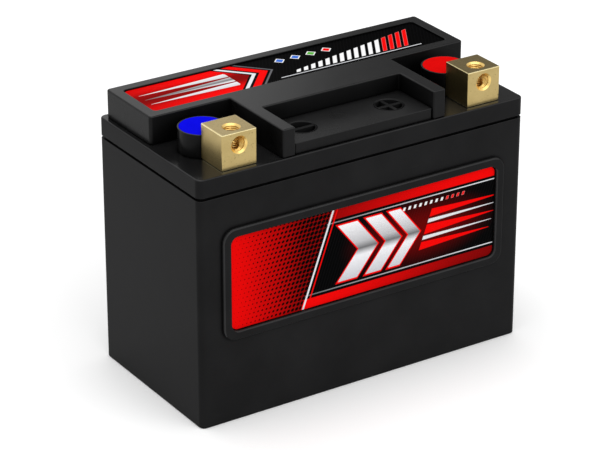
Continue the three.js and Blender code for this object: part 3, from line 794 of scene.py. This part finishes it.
def makeCase():
    size = caseShape
    shoulder, seam = size["shoulder"], size["seamDepth"]
    rings = softEnds(0.0, shoulder, size["footRound"], size["topRound"])
    shell = prism("battery_case", wallOutline, rings + [(shoulder, seam), (caseHigh.z, seam)])
    cut(shell, cellWells(size["chamberRadius"], size["floor"], caseHigh.z + past))
    ribs = []
    half, x = size["ribWidth"] / 2, halfLength - size["wall"] / 2
    for y in (-size["ribSpacing"] / 2, size["ribSpacing"] / 2):
        ribs.append(block("rest rib", (-x, x), (y - half, y + half),
                          (size["floor"] / 2, size["floor"] + size["ribHeight"])))
    join(shell, [labelFrame(), *ribs])
    windows = []
    for wall, middle in enumerate(cellMiddles[:-1]):
        y = size["windowSetback"] * (-1 if wall % 2 else 1)
        window = rod("window", size["windowRadius"], 0.0, 0.0, (-partition, partition), 40)
        windows.append(place(window, middle + cellPitch / 2, y, size["windowHeight"], turn=(90, "Y")))
    cut(shell, windows)
    dress(shell, casePlastic, ["case"], caseEdgeHighlight)


makeCase()
print("case made")

lidShape = {
    "seamGap": 0.65,
    "topRound": 0.7,
    "skirtRound": 0.15,
    "thickness": 3.0,
    "wellRadius": 1.0,
    "sunk": 1.5,
    "neckRadius": 4.2,
    "neckBore": 2.4,
    "neckHeight": 6.9,
    "neckEase": 0.4,
    "socketWall": 2.0,
    "collarRadius": 6.9,
    "collarLength": 4.0,
    "postHole": 4.5,
    "sealSeat": 6.1,
    "sealHeight": 1.5,
}
plugShape = {
    "headRadius": 6.75,
    "headThickness": 4.4,
    "rim": 0.6,
    "pitDepth": 3.2,
    "barWidth": 1.9,
    "barSink": 0.2,
    "shankRadius": 5.1,
    "threadDepth": 0.5,
    "pitch": 1.5,
    "shankLength": 8.6,
    "neckLength": 0.6,
    "bore": 3.2,
    "web": 1.2,
    "slotWidth": 1.6,
    "slotHeight": 2.5,
    "clearance": 0.2,
    "ringSection": 1.2,
    "edgeRound": 0.25,
    "footEase": 0.2,
    "rimEase": 0.15,
    "pitEase": 0.3,
    "holeFlare": 0.25,
}

lidLow = boxOf("lid")[0]
deckLow, deckHigh = boxOf("deck")
platformLow, platformHigh = boxOf("bay_platform")
lidTop = round(deckLow.z - cadGap, 3)
skirt = lidLow.z + lidShape["seamGap"]
valveY = middleOf("safety_valve_1")[1]
postMiddles = {side: middleOf("terminal_post_" + side)[:2] for side in ("negative", "positive")}
plugMiddles = {side: middleOf("vent_plug_" + side)[:2] for side in ("left", "right")}
platformTop = platformHigh.z
plugSeat = platformTop - plugShape["headThickness"] - plugShape["ringSection"]
headHole = plugShape["headRadius"] + plugShape["clearance"]
shankHole = plugShape["shankRadius"] + plugShape["clearance"]


# The stepped hole for a plug, its upper edge eased by flare.
def plugHole(x, y, flare=0.0):
    low, high = lidLow.z - past, platformTop + 3 * past
    return turned("plug hole", [
        (0, low), (shankHole, low), (shankHole, plugSeat), (headHole, plugSeat),
        (headHole, platformTop - flare), (headHole + flare, platformTop), (headHole + flare, high),
        (0, high),
    ], x, y, 72)


def makeLid():
    size = lidShape
    lip = caseShape["seamDepth"]
    rings = [(lidLow.z, lip), (skirt, lip), *softEnds(skirt, lidTop, size["skirtRound"], size["topRound"])]
    shell = prism("battery_lid", wallOutline, rings)
    underside, let = lidTop - size["thickness"], lidTop - size["sunk"]
    cut(shell, cellWells(size["wellRadius"], lidLow.z - past, underside))
    added, removed = [], []
    neck, top = size["neckRadius"], lidTop + size["neckHeight"]
    for x in cellMiddles:
        profile = [(0, let), (neck, let), (neck, top, size["neckEase"]), (0, top)]
        added.append(turned("neck", profile, x, valveY, 40))
        removed.append(rod("neck bore", size["neckBore"], x, valveY, (lidLow.z - past, top + past)))
    for x, y in plugMiddles.values():
        added.append(rod("socket", shankHole + size["socketWall"], x, y, (skirt, underside + past)))
        removed.append(plugHole(x, y))
    for x, y in postMiddles.values():
        added.append(rod("collar", size["collarRadius"], x, y, (underside - size["collarLength"], let)))
        for name, bottom in (("postHole", lidLow.z - past), ("sealSeat", lidTop - size["sealHeight"])):
            removed.append(rod(name, size[name], x, y, (bottom, lidTop + past)))
    join(shell, added)
    cut(shell, removed)
    dress(shell, lidGloss, ["lid"], lidEdgeHighlight, casePlastic)


makeLid()
print("lid made")

# The raised deck with its two arms, and the floor of the bay between them.
deckShape = {
    "topRound": 0.7,
    "footRound": 0.45,
    "cornerRadius": 1.6,
    "stemRadius": 0.3,
    "stemHalf": 43.6,
    "bayHalf": 36.95,
    "bayRadius": 0.9,
    "floorRound": 0.35,
    "skin": 2.4,
    "recessRim": 5.4,
    "recessDepth": 1.1,
    "recessRadius": 2.0,
    "recessLip": 0.3,
    "valveRib": 3.0,
    "valveTop": 130.7,
}

deckTop = deckHigh.z
bayBack = platformHigh.y + cadGap
armFront = boxOf("bay_frame")[0].y


def deckOutline(half, front, rear):
    corner, stem, arm = deckShape["cornerRadius"], deckShape["stemRadius"], deckShape["bayRadius"]
    stemHalf, bayHalf = deckShape["stemHalf"], deckShape["bayHalf"]
    side = [(half, rear, corner), (half, front, corner), (stemHalf, front, stem), (stemHalf, armFront, arm),
            (bayHalf, armFront, arm), (bayHalf, bayBack, arm)]
    left = [(-x, y, radius) for x, y, radius in side[1:]]
    return [*left, *reversed(side[1:]), side[0], (-half, rear, corner)]


def makeDeck():
    size = deckShape
    half, front, rear = deckHigh.x, deckLow.y, deckHigh.y
    rings = softEnds(lidTop, deckTop, size["footRound"], size["topRound"])
    shell = prism("raised_deck", deckOutline(half, front, rear), rings)
    edge, lip, wall = size["recessRim"], size["recessLip"], size["skin"]
    recess = rectangle((-half + edge, half - edge), (front + edge, rear - edge), size["recessRadius"])
    floor = deckTop - size["recessDepth"]
    lipRings = [(height, -inset) for height, inset in softEnds(deckTop - lip, deckTop, 0.0, lip)]
    tools = [prism("recess", recess, [(floor, 0.0), *lipRings, (deckTop + past, -lip)])]
    ribHalf = size["valveRib"] / 2
    across = (-half + wall, half - wall)
    near, far = size["bayHalf"] + wall, size["stemHalf"] - wall
    along = (armFront + wall, front - wall)
    roof, armRoof = floor - wall, deckTop - wall
    for name, x, y, top in (
        ("hollow", across, (front + wall, rear - wall), size["valveTop"]),
        ("hollow front", across, (front + wall, valveY - ribHalf), roof),
        ("hollow back", across, (valveY + ribHalf, rear - wall), roof),
        ("bridge", (2 * wall - near, near - 2 * wall), (bayBack + wall, front - wall), armRoof),
        ("right arm", (near, far), along, armRoof),
        ("left arm", (-far, -near), along, armRoof),
    ):
        tools.append(block(name, x, y, (lidTop - past, top)))
    cut(shell, tools)
    dress(shell, lidPlastic, ["deck", "bay_frame"], lidEdgeHighlight, wallPlastic)


def makePlatform():
    size = deckShape
    x, y = (platformLow.x, platformHigh.x), (platformLow.y, platformHigh.y)
    wall, ease = size["skin"], size["floorRound"]
    floor = rectangle(x, y, size["bayRadius"])
    shell = prism("bay_platform_top", floor, softEnds(lidTop, platformTop, ease, ease))
    hollow = block("hollow", (x[0] + wall, x[1] - wall), (y[0] + wall, y[1] - wall),
                   (lidTop - past, platformTop - wall))
    sleeve = headHole + lidShape["socketWall"]
    foot = lidTop - 2 * past
    cut(hollow, [rod("sleeve", sleeve, *spot, (foot, platformTop)) for spot in plugMiddles.values()])
    cut(shell, [hollow, *[plugHole(*spot, plugShape["holeFlare"]) for spot in plugMiddles.values()]])
    dress(shell, bayPlastic, ["bay_platform"], lidEdgeHighlight, wallPlastic)


makeDeck()
makePlatform()
print("deck and bay made")

terminalShape = {
    "width": 17.8,
    "length": 17.4,
    "edge": 0.42,
    "edgeTilt": (0.2, 0.97),
    "topHoleSetback": 6.6,
    "frontHoleDrop": 6.1,
    "threadInner": 3.3,
    "threadOuter": 3.75,
    "pitch": 1.0,
    "depth": 12.4,
    "flare": 0.9,
    "tip": 1.6,
    "tongueWidth": 10.0,
    "tongueLift": 2.4,
    "tongueThickness": 5.0,
    "tongueRound": 0.3,
    "eyeRadius": 7.0,
    "eyeBore": 3.75,
    "potRadius": 11.0,
    "potShift": -0.45,
    "potWall": 0.75,
    "potFootEase": (0.3, 0.35),
    "potRimRound": 0.22,
    "notchGap": 0.15,
    "resinGap": 0.03,
    "resinThickness": 3.2,
    "meniscus": 0.22,
    "meniscusWidth": 1.2,
}


def makeTerminal(side, resin):
    size = terminalShape
    postX, postY = postMiddles[side]
    low, high = boxOf("terminal_block_" + side)
    left, right, front, top = high.x - size["width"], high.x, low.y, high.z
    rear = front + size["length"]
    edge, ease = size["edge"], size["tongueRound"]
    body = prism(f"terminal_block_{side}_brass", rectangle((left, right), (front, rear), edge),
                 softEnds(low.z, top, edge, edge, 2), 3)
    foot = lidTop + size["tongueLift"]
    bar = softEnds(foot, foot + size["tongueThickness"], ease, ease, 2)
    half, reach = size["tongueWidth"] / 2, size["eyeRadius"]
    tongue = prism("tongue", rectangle((postX - half, postX + half), (rear - past, postY)), bar, 1)
    square = rectangle((postX - reach, postX + reach), (postY - reach, postY + reach), reach - 0.01)
    join(body, [tongue, prism("eye", square, bar, 12)])
    body.data.materials.clear()
    for finish in (satinBrass, brassEdgeHighlight):
        body.data.materials.append(finish)
    # The top and bottom chamfers get the paler brass: a painted highlight.
    least, most = size["edgeTilt"]
    for face in body.data.polygons:
        face.material_index = 1 if least < abs(face.normal.z) < most else 0
    tools = []
    for y, z, turn in ((front + size["topHoleSetback"], top, None),
                       (front, top - size["frontHoleDrop"], (90, "X"))):
        bore = threadRod("bore", size["threadInner"], size["threadOuter"], size["pitch"], size["depth"],
                         size["flare"], size["tip"])
        bore.data.materials.append(cutBrass)
        tools.append(place(bore, (left + right) / 2, y, z, turn))
    tools.append(rod("eye bore", size["eyeBore"], postX, postY, (lidTop, top)))
    cut(body, tools)
    dress(body, None, ["terminal_block_" + side])

    # The round pot and the resin in it, both notched where the block stands.
    potX = postX + size["potShift"]
    outer, inner = size["potRadius"], size["potRadius"] - size["potWall"]
    potTop = boxOf("terminal_pot_" + side)[1].z
    gap = size["notchGap"]

    def notch(share):
        x = (left - share * gap, right + share * gap)
        return block("notch", x, (front, rear + gap), (lidTop - past, potTop + past))

    (trim, lift), ease = size["potFootEase"], size["potRimRound"]
    pot = turned(f"terminal_pot_{side}_ring", [
        (inner, lidTop), (outer - trim, lidTop), (outer, lidTop + lift), (outer, potTop, ease, True),
        (inner, potTop, ease, True),
    ], potX, postY, 96, hollow=True)
    cut(pot, [notch(1)])
    dress(pot, lidPlastic, ["terminal_pot_" + side], lidEdgeHighlight, wallPlastic)

    radius, foot, sag = inner - size["resinGap"], potTop - size["resinThickness"], size["meniscus"]
    profile = [(0, foot), (radius, foot), (radius, potTop)]
    for step in range(1, 7):
        share = step / 6
        profile.append((radius - size["meniscusWidth"] * share, potTop - sag * (1 - (1 - share) ** 2)))
    disc = turned("resin_" + side, profile + [(0, potTop - sag)], potX, postY, 96)
    cut(disc, [notch(2)])
    dress(disc, resin, ["resin_seal_" + side])


makeTerminal("negative", blueResin)
makeTerminal("positive", redResin)
print("terminals made")


def makePlug(side, bars):
    size = plugShape
    x, y = plugMiddles[side]
    head, rim, ease = size["headRadius"], size["rim"], size["edgeRound"]
    core = size["shankRadius"] - size["threadDepth"]
    headFoot = platformTop - size["headThickness"]
    shankFoot = headFoot - size["shankLength"]
    pit = platformTop - size["pitDepth"]
    pitRadius = head - rim
    body = turned(f"vent_plug_{side}_body", [
        (0, headFoot - past), (core, headFoot - past), (core, headFoot), (head, headFoot, size["footEase"]),
        (head, platformTop, ease, True), (pitRadius, platformTop, size["rimEase"]),
        (pitRadius, pit, size["pitEase"]), (0, pit),
    ], x, y, 72)
    half, reach = size["barWidth"] / 2, pitRadius + rim / 2
    span = softEnds(pit - size["web"] / 2, platformTop - size["barSink"], 0.0, ease, 3)
    added = []
    for bar in range(bars):
        shape = rectangle((-reach, reach), (-half, half))
        added.append(place(prism("bar", shape, span, 1), x, y, 0, turn=(90 * bar, "Z")))
    neck = size["neckLength"]
    shank = threadRod("shank", core, size["shankRadius"], size["pitch"], size["shankLength"] - neck,
                      sides=60)
    join(body, [*added, place(shank, x, y, headFoot - neck)])
    slot, wide = size["slotWidth"] / 2, size["shankRadius"] + past
    tall = (shankFoot - past, shankFoot + size["slotHeight"])
    cut(body, [
        rod("bore", size["bore"], x, y, (shankFoot - past, pit - size["web"])),
        block("slot", (x - wide, x + wide), (y - slot, y + slot), tall),
        block("slot across", (x - slot, x + slot), (y - wide, y + wide), tall),
    ])
    dress(body, plugPlastic, ["vent_plug_" + side], body=side + "_plug")

    low, high = boxOf("vent_plug_seal_" + side)
    radius = (high.z - low.z) / 2
    section = circle(radius, 20, (high.x - low.x) / 2 - radius, (low.z + high.z) / 2)
    ring = turned("o_ring_" + side, section, x, y, 72, hollow=True)
    dress(ring, blackRubber, ["vent_plug_seal_" + side], body=side + "_plug_seal")


makePlug("left", 1)
makePlug("right", 2)
print("vent plugs made")

# Inside the cells.
cellShape = {
    "positiveThickness": 2.2,
    "negativeThickness": 1.6,
    "positives": 4,
    "gap": 0.15,
    "plateHalf": 38.3,
    "foldDepth": 0.75,
    "foldSteps": 8,
    "sheetSteps": 5,
    "edgeRound": 0.3,
}
innerShape = {
    "shoulder": 124.35,
    "postRadius": 4.2,
    "postTopRadius": 3.6,
    "postEase": 0.3,
    "sealInner": 4.35,
    "sealEase": 0.2,
    "capInner": 4.35,
    "capOuter": 5.55,
    "capRound": 0.5,
    "capEase": 0.2,
    "capStep": 0.35,
    "capFlange": (1.4, 1.8),
    "weldRadius": 4.0,
    "weldDish": 0.35,
    "weldDome": (0.55, 0.6),
    "weldRim": 0.7,
    "weldEase": 0.25,
}


# The middle line of one mat, seen from above, folded to and fro round the plates.
def foldedLine():
    size = cellShape
    count, gap = size["positives"], size["gap"]
    thin, wide, half = size["negativeThickness"], size["positiveThickness"], size["plateHalf"]
    sheets = 2 * count
    thick = (cellWidth - (count * wide + (count + 1) * thin) - 2 * (sheets + 1) * gap) / sheets
    middles = []
    x = -cellWidth / 2 + gap + thin
    for sheet in range(sheets):
        middles.append(x + gap + thick / 2)
        x += 2 * gap + thick + (thin if sheet % 2 else wide)
    path = []
    for sheet, middle in enumerate(middles):
        way = -1 if sheet % 2 else 1
        for step in range(size["sheetSteps"]):
            path.append((middle, way * half * (2 * step / (size["sheetSteps"] - 1) - 1)))
        if sheet + 1 == sheets:
            break
        bend = (middles[sheet + 1] - middle) / 2
        for step in range(1, size["foldSteps"]):
            angle = math.pi * step / size["foldSteps"]
            path.append((middle + bend * (1 - math.cos(angle)),
                         way * (half + bend * size["foldDepth"] * math.sin(angle))))
    return path, thick


# A strip that follows a line, with rounded upper and lower edges.
def strip(name, path, thick, bottom, top, ease):
    half = thick / 2
    section = [
        (half, bottom + ease), (half, top - ease), (half / 2, top), (-half / 2, top),
        (-half, top - ease), (-half, bottom + ease), (-half / 2, bottom), (half / 2, bottom),
    ]
    rings = []
    for index, (x, y) in enumerate(path):
        before, after = path[max(index - 1, 0)], path[min(index + 1, len(path) - 1)]
        run = Vector((after[0] - before[0], after[1] - before[1])).normalized()
        rings.append([(x - run.y * across, y + run.x * across, height) for across, height in section])
    return skin(name, rings)


def makeCells():
    path, thick = foldedLine()
    for number, middle in enumerate(cellMiddles, 1):
        low, high = boxOf(f"separator_{number}")
        mat = strip(f"glass_mat_{number}", path, thick, low.z, high.z, cellShape["edgeRound"])
        dress(place(mat, middle), glassMat, [f"separator_{number}"])
        for kind, paste in (("positive", positivePaste), ("negative", negativePaste)):
            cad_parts[f"{kind}_plates_{number}"].data.materials[0] = paste


def makeValves():
    size = innerShape
    inner, outer = size["capInner"], size["capOuter"]
    cap, (flange, slope) = outer - size["capStep"], size["capFlange"]
    neckTop = lidTop + lidShape["neckHeight"] + cadGap
    for number, middle in enumerate(cellMiddles, 1):
        low, high = [corner.z for corner in boxOf(f"safety_valve_{number}")]
        piece = turned(f"valve_cap_{number}", [
            (0, neckTop), (inner, neckTop), (inner, low), (outer, low, size["capEase"]),
            (outer, low + flange), (cap, low + slope), (cap, high, size["capRound"], True), (0, high),
        ], middle, valveY, 48)
        dress(piece, blackRubber, [f"safety_valve_{number}"])


def makePosts():
    size = innerShape
    wide, narrow, shoulder = size["postRadius"], size["postTopRadius"], size["shoulder"]
    inner, ease, trim = size["sealInner"], size["postEase"], size["sealEase"]
    for side, (x, y) in postMiddles.items():
        low, high = [corner.z for corner in boxOf("terminal_post_" + side)]
        post = turned("lead_post_" + side, [
            (0, low), (wide, low, ease), (wide, shoulder, ease), (narrow, shoulder), (narrow, high, ease),
            (0, high),
        ], x, y, 64)
        dress(post, lead, ["terminal_post_" + side])
        low, high = boxOf("post_seal_" + side)
        outer = (high.x - low.x) / 2
        section = [(radius, level, trim) for radius, level in (
            (inner, low.z), (outer, low.z), (outer, high.z), (inner, high.z))]
        ring = turned("post_ring_" + side, section, x, y, 64, hollow=True)
        dress(ring, blackRubber, ["post_seal_" + side])


# A weld button: two shallow domes with the squeezed rim between them.
def makeWelds():
    size = innerShape
    radius, dish, rim = size["weldRadius"], size["weldDish"], size["weldRim"]
    reach, depth = size["weldDome"]
    for number in range(1, cells):
        low, high = boxOf(f"cell_weld_{number}")
        half = (high.x - low.x) / 2
        lower = [(0, dish - half), (radius * reach, dish * depth - half), (radius * rim, -half),
                 (radius, -half, size["weldEase"])]
        upper = [(across, -level, *ease) for across, level, *ease in reversed(lower)]
        button = place(turned(f"weld_{number}", lower + upper, sides=48), *(low + high) / 2, turn=(90, "Y"))
        dress(button, lead, [f"cell_weld_{number}"])


makeCells()
makeValves()
makePosts()
makeWelds()
print("inner pieces made")

labelShape = {"edgeRound": 0.08, "cornerGap": 0.3}


def makeLabels():
    ease = labelShape["edgeRound"]
    low, high = boxOf("top_label")
    shape = rectangle((low.x, high.x), (low.y, high.y), deckShape["recessRadius"])
    film = prism("top_label_film", shape, softEnds(low.z, high.z, 0.0, ease, 2))
    dress(film, topFilm, ["top_label"])
    low, high = boxOf("front_label")
    corner = frameShape["innerRadius"] - labelShape["cornerGap"]
    shape = rectangle((low.x, high.x), (low.z, high.z), corner)
    film = prism("front_label_film", shape, softEnds(0.0, high.y - low.y, 0.0, ease, 2))
    place(film, 0, high.y, 0, turn=(90, "X"))
    dress(film, frontFilm, ["front_label"])


makeLabels()
print("labels made")

camera = {
    "place": (-643.780, -977.615, 612.635),
    "yaw": -33.0766,
    "pitch": -25.1998,
    "roll": 0.0207,
    "lens": 166.78,
    "shift": (0.000134, 0.00063),
}
studio = {
    "skyLevel": 0.52,
    "tableReach": 4000,
    "tableColour": (0.95, 0.95, 0.95, 1),
    "tableGlow": 0.09,
    "keyStrength": 1.3,
    "keyAngle": 44,
    "keyTurn": (-6, -4, 0),
    "fillStrength": 1.1,
    "fillAngle": 70,
    "fillTurn": (50, 0, 10),
    "flagPlace": (220, 475, 120),
    "flagSize": (1400, 1200),
    "flagFade": 150,
    "flagShade": 0.78,
}


def makeCamera():
    data = bpy.data.cameras.new("camera")
    data.lens = camera["lens"]
    data.sensor_width = 36
    data.shift_x, data.shift_y = camera["shift"]
    data.clip_start, data.clip_end = 0.05, 20
    eye = bpy.data.objects.new("camera", data)
    scene.collection.objects.link(eye)
    aim = spin(camera["yaw"], "Z") @ spin(90 + camera["pitch"], "X") @ spin(camera["roll"], "Z")
    eye.matrix_world = Matrix.Translation(Vector(camera["place"]) * mm) @ aim
    scene.camera = eye


# 1 where a ray comes from the camera, a mirror or glass, 0 where it only carries light.
def seenRay(tree):
    path = addNode(tree, "LightPath", {})
    seen = calc("MAXIMUM", path["Is Camera Ray"], path["Is Glossy Ray"])
    return calc("MAXIMUM", seen, path["Is Transmission Ray"])


# A dark card behind the right-hand end. Only gloss sees it, as a shade that deepens to the right.
def makeFlag():
    wide, tall = studio["flagSize"]
    corners = [(0, 0, 0), (wide, 0, 0), (wide, 0, tall), (0, 0, tall)]
    card = newPiece("flag card", corners, [(0, 1, 2, 3)])
    card.location = Vector(studio["flagPlace"]) * mm
    material = bpy.data.materials.new("flag cloth")
    material.use_nodes = True
    tree = material.node_tree
    tree.nodes.clear()
    x = addNode(tree, "SeparateXYZ", {0: placeInMm(tree)})["X"]
    shade = times(fit(x, 0.0, studio["flagFade"], 0.0, 1.0, True), studio["flagShade"])
    clear = addNode(tree, "BsdfTransparent", {})[0]
    dark = addNode(tree, "Emission", {"Strength": 0.0})[0]
    mixed = addNode(tree, "MixShader", {0: shade, 1: clear, 2: dark})[0]
    addNode(tree, "OutputMaterial", {"Surface": mixed})
    card.data.materials.append(material)
    card.visible_camera = False
    card.visible_diffuse = False
    card.visible_shadow = False


def makeStudio():
    world = bpy.data.worlds.new("studio")
    world.use_nodes = True
    scene.world = world
    sky = world.node_tree.nodes["Background"].inputs
    feed(sky["Color"], (1, 1, 1, 1))
    feed(sky["Strength"], fit(seenRay(world.node_tree), 0.0, 1.0, studio["skyLevel"], 1.0))

    reach = (-studio["tableReach"], studio["tableReach"])
    corners = [(x, y, 0) for x, y, _ in rectangle(reach, reach)]
    table = newPiece("table", corners, [(0, 1, 2, 3)])
    material, tree, shader = newMaterial("white table", 1.0, 0.0)
    feed(shader["Base Color"], studio["tableColour"])
    feed(shader["Emission Color"], (1, 1, 1, 1))
    feed(shader["Emission Strength"], times(seenRay(tree), studio["tableGlow"]))
    table.data.materials.append(material)

    for name in ("key", "fill"):
        data = bpy.data.lights.new(name, "SUN")
        data.energy = studio[name + "Strength"]
        data.angle = math.radians(studio[name + "Angle"])
        lamp = bpy.data.objects.new(name, data)
        lamp.rotation_euler = [math.radians(value) for value in studio[name + "Turn"]]
        scene.collection.objects.link(lamp)


makeCamera()
makeStudio()
makeFlag()
scene.view_settings.view_transform = "Standard"
print("camera and light set")
